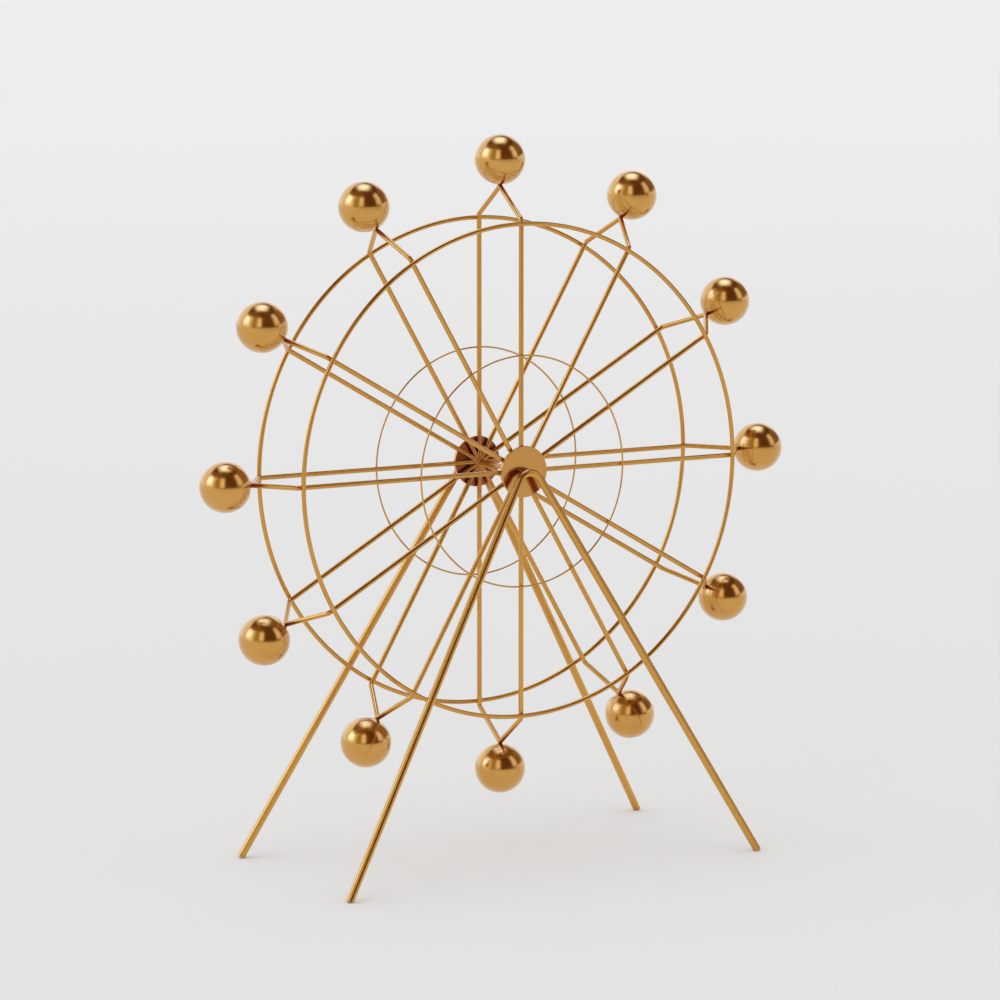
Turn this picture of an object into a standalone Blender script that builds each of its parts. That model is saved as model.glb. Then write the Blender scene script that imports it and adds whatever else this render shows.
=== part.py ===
# Ferris wheel decoration: a gold wire model wheel with twelve balls, turning on an axle between
# two bent-rod legs. Metres, +Z up. The origin is on the floor under the wheel's centre, X runs
# across the wheel, Y runs along the axle, and -Y is the front.

import math

import bmesh
import bpy
from mathutils import Vector

# Driving dimensions of the wheel
ARM_COUNT = 12
RIM_RADIUS = 0.10015
RIM_WIRE_DIAMETER = 0.0018
INNER_RING_RADIUS = 0.0471
INNER_RING_WIRE_DIAMETER = 0.0007
ARM_WIRE_DIAMETER = 0.0020
ARM_SPACING = 0.0340
ARM_PAST_RIM = 0.00165
ARM_KINK_RADIUS = 0.0016
ARM_V_HEIGHT = 0.0123
BALL_DIAMETER = 0.0206
BALL_DIMPLE_DIAMETER = 0.0026
BALL_DIMPLE_DEPTH = 0.0010

# Driving dimensions of the hub
AXLE_DIAMETER = 0.0016
HUB_TUBE_WALL = 0.0003
HUB_DISC_DIAMETER = 0.0210
HUB_DISC_THICKNESS = 0.0015
SPACER_WALL = 0.0005
SPACER_LENGTH = 0.0018
AXLE_HOLE_DEPTH = 0.0017

# Driving dimensions of the legs
LEG_ROD_DIAMETER = 0.0032
LEG_BEND_RADIUS = 0.0055
FOOT_HALF_SPREAD = 0.0957
FOOT_HALF_TRACK = 0.0474
FOOT_FLAT_DEPTH = 0.0005
FLOOR_CLEARANCE = 0.0260

# Clearances
SEAT_GAP = 0.0003
RUNNING_GAP = 0.0001
CUT_OVERRUN = 0.0010
WELD_DISTANCE = 0.000001

# Facets
BALL_SEGMENTS = 20
BALL_RINGS = 12
RIM_SEGMENTS = 72
INNER_RING_SEGMENTS = 60
DISC_SEGMENTS = 48
TUBE_SEGMENTS = 20
WIRE_BEVEL_RESOLUTION = 2
LEG_BEVEL_RESOLUTION = 4
KINK_STEPS = 3
LEG_BEND_STEPS = 10
SHARP_ANGLE = math.radians(40)

# Radii
arm_radius = ARM_WIRE_DIAMETER / 2
rim_wire_radius = RIM_WIRE_DIAMETER / 2
inner_wire_radius = INNER_RING_WIRE_DIAMETER / 2
ball_radius = BALL_DIAMETER / 2
axle_radius = AXLE_DIAMETER / 2
leg_radius = LEG_ROD_DIAMETER / 2
tube_bore_radius = axle_radius + RUNNING_GAP
tube_radius = tube_bore_radius + HUB_TUBE_WALL
disc_radius = HUB_DISC_DIAMETER / 2

# Places along a spoke, measured out from the wheel's centre
arm_step = math.tau / ARM_COUNT
arm_plane = ARM_SPACING / 2
arm_root = tube_radius + SEAT_GAP
arm_kink = RIM_RADIUS + ARM_PAST_RIM
arm_tip = arm_kink + ARM_V_HEIGHT
v_half_angle = math.atan2(arm_plane, ARM_V_HEIGHT)
arm_tip_outside = arm_tip + arm_radius / math.sin(v_half_angle)
ball_circle_radius = arm_tip_outside + SEAT_GAP - BALL_DIMPLE_DEPTH + ball_radius
axle_height = ball_circle_radius + ball_radius + FLOOR_CLEARANCE

# Places along the axle, measured out from the wheel's mid-plane
arm_face = arm_plane + arm_radius
rim_plane = arm_face + SEAT_GAP + rim_wire_radius
inner_ring_plane = arm_face + SEAT_GAP + inner_wire_radius
disc_inner_face = arm_face + SEAT_GAP
disc_outer_face = disc_inner_face + HUB_DISC_THICKNESS
spacer_inner_face = disc_outer_face + SEAT_GAP
spacer_outer_face = spacer_inner_face + SPACER_LENGTH
leg_face = spacer_outer_face + SEAT_GAP
leg_plane = leg_face + leg_radius
axle_hole_end = leg_face + AXLE_HOLE_DEPTH
axle_end = axle_hole_end - SEAT_GAP

# The legs' slopes: each leg lies in a plane that leans outwards, and its two runs are tangents to the bend
leg_lean = math.atan2(FOOT_HALF_TRACK - leg_plane, axle_height)
leg_drop = axle_height / math.cos(leg_lean)
bend_to_foot = math.hypot(FOOT_HALF_SPREAD, leg_drop - LEG_BEND_RADIUS)
leg_splay = (math.atan2(FOOT_HALF_SPREAD, leg_drop - LEG_BEND_RADIUS)
             - math.asin(LEG_BEND_RADIUS / bend_to_foot))
rod_steepness = math.cos(leg_splay) * math.cos(leg_lean)
rod_end_reach = leg_radius * math.sqrt(1 - rod_steepness ** 2)
foot_trim = (rod_end_reach - FOOT_FLAT_DEPTH) / rod_steepness


def clear_scene():
    for item in list(bpy.data.objects):
        bpy.data.objects.remove(item, do_unlink=True)


def new_collection(name):
    collection = bpy.data.collections.new(name)
    bpy.context.scene.collection.children.link(collection)
    return collection


def metal(name, colour, roughness):
    material = bpy.data.materials.new(name)
    material.use_nodes = True
    shader = material.node_tree.nodes["Principled BSDF"]
    shader.inputs["Base Color"].default_value = (*colour, 1)
    shader.inputs["Metallic"].default_value = 1
    shader.inputs["Roughness"].default_value = roughness
    return material


clear_scene()
parts = new_collection("ferris_wheel_decoration")
cutters = new_collection("cutters")

GOLD = (0.62, 0.34, 0.08)
DEEP_GOLD = (0.55, 0.30, 0.07)
BRASS = (0.60, 0.42, 0.14)
leg_metal = metal("leg_gold", GOLD, 0.25)
arm_metal = metal("arm_gold", GOLD, 0.25)
ring_metal = metal("ring_gold", DEEP_GOLD, 0.25)
ball_metal = metal("ball_gold", GOLD, 0.18)
disc_metal = metal("disc_gold", GOLD, 0.30)
tube_metal = metal("hub_tube_brass", BRASS, 0.30)
axle_metal = metal("axle_brass", BRASS, 0.35)
spacer_metal = metal("spacer_brass", BRASS, 0.35)


def new_empty(name, location):
    empty = bpy.data.objects.new(name, None)
    empty.empty_display_size = disc_radius
    empty.location = location
    parts.objects.link(empty)
    return empty


def finish_mesh(mesh, material):
    """Smooth shading with sharp edges kept, and the piece's own metal."""
    mesh.shade_smooth()
    mesh.set_sharp_from_angle(angle=SHARP_ANGLE)
    mesh.materials.clear()
    mesh.materials.append(material)
    return mesh


def place(name, mesh, parent, location=(0, 0, 0), rotation=(0, 0, 0)):
    piece = bpy.data.objects.new(name, mesh)
    parts.objects.link(piece)
    piece.parent = parent
    piece.rotation_mode = "ZYX"
    piece.location = location
    piece.rotation_euler = rotation
    return piece


def mesh_from(work, name):
    """A finished bmesh, written to a new mesh."""
    mesh = bpy.data.meshes.new(name)
    work.to_mesh(mesh)
    work.free()
    return mesh


def plain_mesh(piece, name):
    """The piece as the viewport evaluates it, as a closed mesh with no modifiers."""
    evaluated = piece.evaluated_get(bpy.context.evaluated_depsgraph_get())
    work = bmesh.new()
    work.from_mesh(bpy.data.meshes.new_from_object(evaluated))
    bmesh.ops.remove_doubles(work, verts=work.verts, dist=WELD_DISTANCE)
    bmesh.ops.recalc_face_normals(work, faces=work.faces)
    bpy.data.objects.remove(piece, do_unlink=True)
    return mesh_from(work, name)


def wire_mesh(name, points, radius, resolution, closed=False):
    """A round wire along the points, with flat caps unless it is closed."""
    curve = bpy.data.curves.new(name, "CURVE")
    curve.dimensions = "3D"
    curve.bevel_depth = radius
    curve.bevel_resolution = resolution
    curve.use_fill_caps = not closed
    spline = curve.splines.new("POLY")
    spline.points.add(len(points) - 1)
    for target, point in zip(spline.points, points):
        target.co = (*point, 1)
    spline.use_cyclic_u = closed
    piece = bpy.data.objects.new(name, curve)
    parts.objects.link(piece)
    bpy.context.view_layer.update()
    return plain_mesh(piece, name)


def cut_plane(mesh, point, normal):
    """Cuts away the side of the mesh that the normal points to and closes the cut."""
    work = bmesh.new()
    work.from_mesh(mesh)
    everything = list(work.verts) + list(work.edges) + list(work.faces)
    cut = bmesh.ops.bisect_plane(work, geom=everything, dist=0, plane_co=point, plane_no=normal,
                                 clear_outer=True)
    rim = [item for item in cut["geom_cut"] if isinstance(item, bmesh.types.BMEdge)]
    bmesh.ops.edgeloop_fill(work, edges=rim)
    bmesh.ops.recalc_face_normals(work, faces=work.faces)
    work.to_mesh(mesh)
    work.free()


def cylinder_mesh(name, radius, length, segments):
    """A solid cylinder along Z, centred on the origin."""
    work = bmesh.new()
    bmesh.ops.create_cone(work, cap_ends=True, segments=segments, radius1=radius, radius2=radius,
                          depth=length)
    return mesh_from(work, name)


def new_cutter(name, mesh, parent=None, location=(0, 0, 0), rotation=(0, 0, 0)):
    cutter = bpy.data.objects.new(name, mesh)
    cutters.objects.link(cutter)
    cutter.parent = parent
    cutter.location = location
    cutter.rotation_euler = rotation
    cutter.hide_render = True
    cutter.display_type = "WIRE"
    return cutter


def cut_with(piece, cutter):
    cut = piece.modifiers.new("cut_" + cutter.name, "BOOLEAN")
    cut.operation = "DIFFERENCE"
    cut.object = cutter


def turned_ring(name, bore, outside, start, end, segments):
    """A flat ring, tube or washer round the Y axis, turned from its four-cornered section."""
    work = bmesh.new()
    section = [(outside, end, 0), (outside, start, 0), (bore, start, 0), (bore, end, 0)]
    corners = [work.verts.new(corner) for corner in section]
    for first, second in zip(corners, corners[1:] + corners[:1]):
        work.edges.new((first, second))
    piece = bpy.data.objects.new(name, mesh_from(work, name))
    parts.objects.link(piece)
    screw = piece.modifiers.new("turn", "SCREW")
    screw.axis = "Y"
    screw.steps = segments
    screw.render_steps = segments
    screw.use_merge_vertices = True
    screw.merge_threshold = WELD_DISTANCE
    bpy.context.view_layer.update()
    return plain_mesh(piece, name)


def rounded_corner(before, corner, after, radius, steps):
    """Points of an arc of the given radius that turns the corner between two straight runs."""
    before, corner, after = Vector(before), Vector(corner), Vector(after)
    into = (corner - before).normalized()
    out = (after - corner).normalized()
    turn = into.angle(out)
    setback = radius * math.tan(turn / 2)
    start = corner - into * setback
    inward = (out - into * out.dot(into)).normalized()
    centre = start + inward * radius
    angles = [turn * step / steps for step in range(steps + 1)]
    return [centre + (into * math.sin(angle) - inward * math.cos(angle)) * radius for angle in angles]


def arm_mesh():
    """One front arm, standing up from the wheel's centre along +Z."""
    root = (0, -arm_plane, 0)
    kink = (0, -arm_plane, arm_kink)
    tip = (0, 0, arm_tip)
    past_tip = Vector(tip) + (Vector(tip) - Vector(kink)).normalized() * ARM_WIRE_DIAMETER
    points = [root, *rounded_corner(root, kink, tip, ARM_KINK_RADIUS, KINK_STEPS), past_tip]
    mesh = wire_mesh("arm", points, arm_radius, WIRE_BEVEL_RESOLUTION)
    # The inner end is filed to a wedge, so that the twelve spokes close up round the hub tube like slices
    cut_plane(mesh, (0, 0, arm_root), (0, 0, -1))
    for side in (1, -1):
        slope = (side * math.cos(arm_step / 2), 0, -math.sin(arm_step / 2))
        point = Vector(slope) * (-SEAT_GAP / 2)
        cut_plane(mesh, point, slope)
    # The outer end is mitred to meet its twin at the wheel's mid-plane
    cut_plane(mesh, (0, -SEAT_GAP / 2, 0), (0, 1, 0))
    return finish_mesh(mesh, arm_metal)


def ring_mesh(name, radius, wire_radius, segments, resolution):
    """A wire hoop round the Y axis."""
    angles = [math.tau * step / segments for step in range(segments)]
    points = [(radius * math.sin(angle), 0, radius * math.cos(angle)) for angle in angles]
    return finish_mesh(wire_mesh(name, points, wire_radius, resolution, closed=True), ring_metal)


def ball_mesh():
    """One ball, centred on its own origin, with a drilled dimple in its underside for the tip of its V."""
    work = bmesh.new()
    bmesh.ops.create_uvsphere(work, u_segments=BALL_SEGMENTS, v_segments=BALL_RINGS, radius=ball_radius)
    ball = bpy.data.objects.new("ball", mesh_from(work, "ball"))
    parts.objects.link(ball)
    drill_length = BALL_DIMPLE_DEPTH + CUT_OVERRUN
    drill_mesh = cylinder_mesh("dimple_drill", BALL_DIMPLE_DIAMETER / 2, drill_length, TUBE_SEGMENTS)
    drill_place = (0, 0, BALL_DIMPLE_DEPTH - ball_radius - drill_length / 2)
    cut_with(ball, new_cutter("dimple_drill", drill_mesh, location=drill_place))
    bpy.context.view_layer.update()
    return finish_mesh(plain_mesh(ball, "ball"), ball_metal)


def leg_mesh():
    """One leg, upright in its own XZ plane, with the top of its bend's centre line at its origin."""
    foot = Vector((FOOT_HALF_SPREAD, 0, -leg_drop))
    down = Vector((math.sin(leg_splay), 0, -math.cos(leg_splay)))
    end = foot - down * foot_trim
    bend_angle = math.radians(90) - leg_splay
    angles = [-bend_angle + 2 * bend_angle * step / LEG_BEND_STEPS for step in range(LEG_BEND_STEPS + 1)]
    bend = [Vector((math.sin(angle), 0, math.cos(angle) - 1)) * LEG_BEND_RADIUS for angle in angles]
    points = [(-end.x, 0, end.z), *bend, (end.x, 0, end.z)]
    return finish_mesh(wire_mesh("leg", points, leg_radius, LEG_BEVEL_RESOLUTION), leg_metal)


def floor_cutter():
    """A slab under the floor, which grinds the feet flat."""
    width = 2 * (FOOT_HALF_SPREAD + LEG_ROD_DIAMETER)
    depth = 2 * (FOOT_HALF_TRACK + LEG_ROD_DIAMETER)
    work = bmesh.new()
    bmesh.ops.create_cube(work, size=1)
    bmesh.ops.scale(work, verts=work.verts, vec=(width, depth, LEG_ROD_DIAMETER))
    return new_cutter("floor_grinder", mesh_from(work, "floor_grinder"), location=(0, 0, -leg_radius))


ALONG_AXLE = (math.radians(90), 0, 0)
stand = new_empty("stand_axis", (0, 0, axle_height))
wheel = new_empty("wheel_axis", (0, 0, axle_height))


def make_stand():
    mesh = leg_mesh()
    grinder = floor_cutter()
    drill_length = axle_hole_end - leg_face + CUT_OVERRUN
    drill_mesh = cylinder_mesh("axle_drill", axle_radius + RUNNING_GAP, drill_length, TUBE_SEGMENTS)
    for name, side in (("front_leg", -1), ("back_leg", 1)):
        leg = place(name, mesh, stand, (0, side * leg_plane, 0), (side * leg_lean, 0, 0))
        drill_place = (0, side * (axle_hole_end - drill_length / 2), 0)
        cut_with(leg, new_cutter(name + "_axle_drill", drill_mesh, stand, drill_place, ALONG_AXLE))
        cut_with(leg, grinder)
    axle = cylinder_mesh("axle", axle_radius, 2 * axle_end, TUBE_SEGMENTS)
    place("axle", finish_mesh(axle, axle_metal), stand, rotation=ALONG_AXLE)
    spacer = turned_ring("spacer", axle_radius + RUNNING_GAP, axle_radius + RUNNING_GAP + SPACER_WALL,
                         spacer_inner_face, spacer_outer_face, TUBE_SEGMENTS)
    finish_mesh(spacer, spacer_metal)
    place("back_spacer", spacer, stand)
    place("front_spacer", spacer, stand, rotation=(0, 0, math.pi))


def make_hub():
    tube = turned_ring("hub_tube", tube_bore_radius, tube_radius, -disc_outer_face, disc_outer_face,
                       TUBE_SEGMENTS)
    place("hub_tube", finish_mesh(tube, tube_metal), wheel)
    disc = turned_ring("hub_disc", tube_radius + SEAT_GAP, disc_radius, disc_inner_face, disc_outer_face,
                       DISC_SEGMENTS)
    finish_mesh(disc, disc_metal)
    place("back_hub_disc", disc, wheel)
    place("front_hub_disc", disc, wheel, rotation=(0, 0, math.pi))


def make_rings():
    rim = ring_mesh("rim_ring", RIM_RADIUS, rim_wire_radius, RIM_SEGMENTS, WIRE_BEVEL_RESOLUTION)
    inner = ring_mesh("inner_ring", INNER_RING_RADIUS, inner_wire_radius, INNER_RING_SEGMENTS,
                      WIRE_BEVEL_RESOLUTION - 1)
    for name, side in (("front", -1), ("back", 1)):
        place(name + "_rim_ring", rim, wheel, (0, side * rim_plane, 0))
        place(name + "_inner_ring", inner, wheel, (0, side * inner_ring_plane, 0))


def make_arms_and_balls():
    arm = arm_mesh()
    ball = ball_mesh()
    for index in range(ARM_COUNT):
        angle = index * arm_step
        number = f"{index + 1:02d}"
        place("front_arm_" + number, arm, wheel, rotation=(0, angle, 0))
        place("back_arm_" + number, arm, wheel, rotation=(0, angle, math.pi))
        centre = (ball_circle_radius * math.sin(angle), 0, ball_circle_radius * math.cos(angle))
        place("ball_" + number, ball, wheel, centre, (0, angle, 0))


make_stand()
make_hub()
make_rings()
make_arms_and_balls()
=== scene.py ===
# %% [markdown]
# # A gold wire Ferris wheel
#
# The object is a shelf ornament. Twelve bent wires carry twelve balls, four hoops tie the wires
# together, and the wheel turns on an axle between two bent-rod legs. Everything is gold plated and
# polished, so the shape of each wire and the room that the metal mirrors make up the whole look.
#
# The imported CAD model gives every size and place. This script measures it, builds a finer piece
# over each solid, and gives each piece its finish. Units are metres, +Z is up and -Y is the front.

# %% Load the frame
import math

import bmesh
import bpy
from mathutils import Matrix, Vector


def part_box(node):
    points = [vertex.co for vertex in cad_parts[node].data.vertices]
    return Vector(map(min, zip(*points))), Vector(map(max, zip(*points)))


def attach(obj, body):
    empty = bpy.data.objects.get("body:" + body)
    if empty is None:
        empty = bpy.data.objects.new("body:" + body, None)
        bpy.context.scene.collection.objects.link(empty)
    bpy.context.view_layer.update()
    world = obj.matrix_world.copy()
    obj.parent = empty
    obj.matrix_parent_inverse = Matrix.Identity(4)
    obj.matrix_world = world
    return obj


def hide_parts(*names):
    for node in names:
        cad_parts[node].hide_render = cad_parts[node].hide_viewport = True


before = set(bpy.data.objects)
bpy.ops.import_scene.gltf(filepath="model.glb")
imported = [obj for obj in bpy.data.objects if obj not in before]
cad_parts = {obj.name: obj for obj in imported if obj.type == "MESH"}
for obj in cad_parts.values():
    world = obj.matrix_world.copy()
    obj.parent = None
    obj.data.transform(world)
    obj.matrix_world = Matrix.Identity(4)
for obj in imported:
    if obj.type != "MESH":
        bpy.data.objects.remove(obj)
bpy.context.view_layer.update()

# %% [markdown]
# ## Sizes, measured on the CAD solids
#
# A ring's box gives its radius and its wire: along the axle the box is one wire thick, and across
# it reaches one wire radius past the centre line. Turned parts are measured the same way. The
# wheel's centre is the middle of the hub tube. Only what a box can't tell, such as the bend of a
# wire, is given as a number of its own.

# %% Read the sizes
def middle(node):
    low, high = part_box(node)
    return (low + high) / 2


def extent(node):
    low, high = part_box(node)
    return high - low


def ring_sizes(node):
    """Radius of the centre line, wire radius and place along the axle."""
    size = extent(node)
    return (size.x - size.y) / 2, size.y / 2, abs(middle(node).y)


def turned_sizes(node):
    """Radius, length along the axle and place along it."""
    return extent(node).x / 2, extent(node).y, abs(middle(node).y)


MM = 0.001
WHEEL_CENTRE = middle("hub_tube")
ARM_COUNT = len([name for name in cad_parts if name.startswith("ball_")])
rim_radius, rim_wire, rim_plane = ring_sizes("front_rim_ring")
inner_radius, inner_wire, inner_plane = ring_sizes("front_inner_ring")
tube_radius, tube_length = turned_sizes("hub_tube")[:2]
disc_radius, disc_thickness, disc_plane = turned_sizes("front_hub_disc")
axle_radius, axle_length = turned_sizes("axle")[:2]
spacer_radius, spacer_length, spacer_plane = turned_sizes("front_spacer")
ball_radius = extent("ball_01").y / 2
ball_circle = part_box("ball_01")[1].z - ball_radius - WHEEL_CENTRE.z
arm_low, arm_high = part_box("front_arm_01")
arm_radius = (arm_high.x - arm_low.x) / 2
arm_plane = -arm_low.y - arm_radius
print(f"{ARM_COUNT} balls of radius {ball_radius / MM:.2f} mm on a circle of {ball_circle / MM:.2f} mm")
print(f"rim {rim_radius / MM:.2f} mm, wire {rim_wire / MM:.2f} mm, at {rim_plane / MM:.2f} mm")
print(f"inner ring {inner_radius / MM:.2f} mm, wire {inner_wire / MM:.2f} mm, at {inner_plane / MM:.2f} mm")
print(f"disc {disc_radius / MM:.2f} mm, tube {tube_radius / MM:.2f} mm, axle {axle_radius / MM:.2f} mm")

# %% [markdown]
# ## Meshes and objects
#
# A shape is worked on as a bmesh, written to a mesh, and shown by an object. A camera and a lamp
# need an object too. These steps come back for every piece, so each is a function.

# %% Mesh and object helpers
def mesh_from(work, name):
    mesh = bpy.data.meshes.new(name)
    work.to_mesh(mesh)
    work.free()
    return mesh


def smooth_mesh(work, name):
    mesh = mesh_from(work, name)
    mesh.shade_smooth()
    return mesh


def add_line(work, points):
    """A line of edges through the points."""
    verts = [work.verts.new(point) for point in points]
    for pair in zip(verts, verts[1:]):
        work.edges.new(pair)


def new_object(name, data):
    made = bpy.data.objects.new(name, data)
    bpy.context.scene.collection.objects.link(made)
    return made


# %% [markdown]
# ## The photograph's view
#
# The camera stands 30 degrees to the left of the front and 8 degrees above the axle, far away with
# a long lens. These values come from a fit to the outlines of the twelve balls, the hoops and the
# legs. The camera is placed by its own three axes, so no target object is needed.

# %% Camera
CAMERA_AZIMUTH = math.radians(-30.026)
CAMERA_ELEVATION = math.radians(8.009)
CAMERA_DISTANCE = 1.87253
LENS = 165.589
AIM_BELOW_CENTRE = 13.77 * MM


def level_direction(azimuth):
    """The level direction that many radians to the right of the camera."""
    return Vector((math.sin(CAMERA_AZIMUTH + azimuth), -math.cos(CAMERA_AZIMUTH + azimuth), 0))


backward = level_direction(0) * math.cos(CAMERA_ELEVATION) + Vector((0, 0, math.sin(CAMERA_ELEVATION)))
rightward = Vector((0, 0, 1)).cross(backward).normalized()
upward = backward.cross(rightward)
aim = WHEEL_CENTRE - upward * AIM_BELOW_CENTRE

camera_data = bpy.data.cameras.new("photo_camera")
camera_data.lens = LENS
camera_data.sensor_width = 36
camera = new_object("photo_camera", camera_data)
turn = Matrix((rightward, upward, backward)).transposed().to_4x4()
camera.matrix_world = Matrix.Translation(aim + backward * CAMERA_DISTANCE) @ turn
bpy.context.scene.camera = camera
bpy.context.scene.view_settings.view_transform = "Standard"
print("camera at", tuple(round(value, 4) for value in camera.matrix_world.translation))

# %% [markdown]
# ## Small helpers for node trees
#
# Shader nodes and geometry nodes are added the same way: by type, with the values of their inputs
# by name. The steps that come up most, such as arithmetic, a smooth step and a mix of two colours,
# get a function each. A group gets its sockets first, so that it can be placed like any other node.

# %% Node helpers
def fill_socket(tree, socket, value):
    """Links the socket to another node's output, or sets its value."""
    if isinstance(value, bpy.types.NodeSocket):
        tree.links.new(value, socket)
    else:
        socket.default_value = value


def fill_inputs(tree, node, **inputs):
    for name, value in inputs.items():
        fill_socket(tree, node.inputs[name.replace("_", " ")], value)


def add_node(tree, kind, settings=(), **inputs):
    """A node of that type, with its settings and the values of its inputs, which may be links."""
    node = tree.nodes.new(kind)
    for name, value in dict(settings).items():
        setattr(node, name, value)
    fill_inputs(tree, node, **inputs)
    return node


def maths(tree, operation, first, second=0.0, third=0.0):
    node = add_node(tree, "ShaderNodeMath", {"operation": operation})
    for socket, value in zip(node.inputs, (first, second, third)):
        fill_socket(tree, socket, value)
    return node.outputs[0]


def product(tree, first, *others):
    for other in others:
        first = maths(tree, "MULTIPLY", first, other)
    return first


def vector_maths(tree, operation, *values):
    """One step of vector arithmetic. A length and a dot product come out as one number."""
    node = add_node(tree, "ShaderNodeVectorMath", {"operation": operation})
    for socket, value in zip(node.inputs, values):
        fill_socket(tree, socket, value)
    return node.outputs["Value" if operation in ("LENGTH", "DOT_PRODUCT") else "Vector"]


def smooth_step(tree, value, start, end, low=0.0, high=1.0):
    """Runs smoothly from low to high while the value goes from start to end."""
    return add_node(tree, "ShaderNodeMapRange", {"interpolation_type": "SMOOTHSTEP"}, Value=value,
                    From_Min=start, From_Max=end, To_Min=low, To_Max=high).outputs["Result"]


def mix_colours(tree, share, first, second, blend="MIX"):
    settings = {"data_type": "RGBA", "blend_type": blend}
    return add_node(tree, "ShaderNodeMix", settings, Factor=share, A=first, B=second).outputs["Result"]


def noise(tree, place, scale, detail, roughness=0.5, distortion=0.0):
    """A soft cloudy pattern between 0 and 1."""
    return add_node(tree, "ShaderNodeTexNoise", Vector=place, Scale=scale, Detail=detail, Roughness=roughness,
                    Distortion=distortion).outputs["Fac"]


def new_material(name):
    """A material, its tree, its Principled shader, and the place on the object."""
    material = bpy.data.materials.new(name)
    material.use_nodes = True
    tree = material.node_tree
    return material, tree, tree.nodes["Principled BSDF"], add_node(tree, "ShaderNodeTexCoord").outputs["Object"]


def new_group(name, kind, sockets_in, sockets_out):
    """A node group, what it is given and what it puts out, both by the names of their sockets."""
    tree = bpy.data.node_groups.new(name, kind)
    for direction, sockets in (("INPUT", sockets_in), ("OUTPUT", sockets_out)):
        for socket_name, socket_kind in sockets.items():
            tree.interface.new_socket(socket_name, in_out=direction, socket_type="NodeSocket" + socket_kind)
    return tree, tree.nodes.new("NodeGroupInput").outputs, tree.nodes.new("NodeGroupOutput").inputs


# %% [markdown]
# ## The floor
#
# The ornament stands on a wide pale sweep. It is flat where the object stands and rises only a
# little towards its far edge, because the balls mirror its horizon and the photograph shows that
# line just above their middles. One profile line is turned round the Z axis by a Screw modifier.
# The paint holds painted light: it gets a little lighter with distance, as the photograph's
# background does from bottom to top, and right under the object it is a touch lighter too, a painted
# pool of light that keeps the soft shadow faint. In front and to the right it holds painted shade: it
# is darker there, where less of the studio's light falls, and the polished wires mirror that. A
# camera on another side should still see a plain backdrop, so Light Path shows the painted shade to
# mirrors only.

# %% Floor
FLOOR_RADIUS = 40.0
FLOOR_FLAT_RADIUS = 2.0
FLOOR_RIM_HEIGHT = 0.8
FLOOR_PROFILE_STEPS = 60
FLOOR_TURN_STEPS = 96
# The paint with painted light in it: share of the floor's radius, and the grey there
FLOOR_PAINTED_LIGHT = {0.0: 0.838, 0.0030: 0.826, 0.0060: 0.806, 0.0105: 0.804, 0.0315: 0.826, 0.1225: 0.876, 0.35: 0.895}
# The painted shade: degrees to the right of the camera, where it begins and is full, and what is left
DIM_AZIMUTH = math.radians(42)
DIM_START = 0.3
DIM_FULL = 2.5
DIM_LEFT_OVER = 0.76
# A trace of cloudiness in the paint: patches per metre, and how much of them shows
CLOUD_SCALE = 0.8
CLOUD_SHARE = 0.02


def floor_height(radius):
    share = max(0.0, radius - FLOOR_FLAT_RADIUS) / (FLOOR_RADIUS - FLOOR_FLAT_RADIUS)
    return FLOOR_RIM_HEIGHT * share ** 2


def pale_floor_material():
    material, tree, shader, place = new_material("pale_floor")
    share_of_radius = maths(tree, "DIVIDE", vector_maths(tree, "LENGTH", place), FLOOR_RADIUS)
    # Painted light: the ramp is lighter far off and right under the object
    ramp = add_node(tree, "ShaderNodeValToRGB", Fac=share_of_radius)
    while len(ramp.color_ramp.elements) < len(FLOOR_PAINTED_LIGHT):
        ramp.color_ramp.elements.new(0.5)
    for element, (share, grey) in zip(ramp.color_ramp.elements, FLOOR_PAINTED_LIGHT.items()):
        element.position = share
        element.color = (grey, grey, grey, 1)
    cloud = add_node(tree, "ShaderNodeTexNoise", Vector=place, Scale=CLOUD_SCALE)
    tone = mix_colours(tree, CLOUD_SHARE, ramp.outputs["Color"], cloud.outputs["Color"], "MULTIPLY")
    # Painted shade in front and to the right, shown to mirrors only
    towards_dim = vector_maths(tree, "DOT_PRODUCT", place, level_direction(DIM_AZIMUTH))
    light_left = smooth_step(tree, towards_dim, DIM_START, DIM_FULL, 1.0, DIM_LEFT_OVER)
    seen_by_camera = add_node(tree, "ShaderNodeLightPath").outputs["Is Camera Ray"]
    paint = vector_maths(tree, "MULTIPLY", tone, maths(tree, "MAXIMUM", light_left, seen_by_camera))
    fill_inputs(tree, shader, Base_Color=paint, Roughness=0.6, Specular_IOR_Level=0.0)
    return material


def floor_sweep():
    work = bmesh.new()
    radii = [FLOOR_RADIUS * (step / FLOOR_PROFILE_STEPS) ** 2 for step in range(FLOOR_PROFILE_STEPS + 1)]
    add_line(work, [(radius, 0, floor_height(radius)) for radius in radii])
    floor = new_object("floor", mesh_from(work, "floor"))
    screw = floor.modifiers.new("turn", "SCREW")
    screw.steps = screw.render_steps = FLOOR_TURN_STEPS
    screw.use_merge_vertices = True
    screw.use_normal_calculate = True
    screw.use_smooth_shade = True
    floor.data.materials.append(pale_floor_material())
    return floor


floor = floor_sweep()
print("the floor's edge stands", round(math.degrees(math.atan2(FLOOR_RIM_HEIGHT, FLOOR_RADIUS)), 1), "degrees up")

# %% [markdown]
# ## The studio light
#
# Polished metal shows the room. The photograph's balls mirror a dark, warm room on the camera's
# side, a large soft lamp overhead, three upright soft boxes (a wide bright one on the left, slim
# ones in the middle and on the right), and pale walls behind the object and low on its right. All
# of these are painted on the world by direction: each is a soft-edged rectangle, as seen from the
# object. A group turns a direction into the mask of such a rectangle, and the world places it once
# for each, the later ones over the earlier ones.
#
# The floor is matt and needs no picture of a room. For it the world is one plain grey, and a sun
# lamp with a very wide disc, high on the left, casts the faint soft shadow. Light Path tells the two
# apart: only rays that a polished surface sends out meet the painted room.

# %% Soft box group
# A direction that has less than this ahead of it misses the box
JUST_AHEAD = 0.0001


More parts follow.
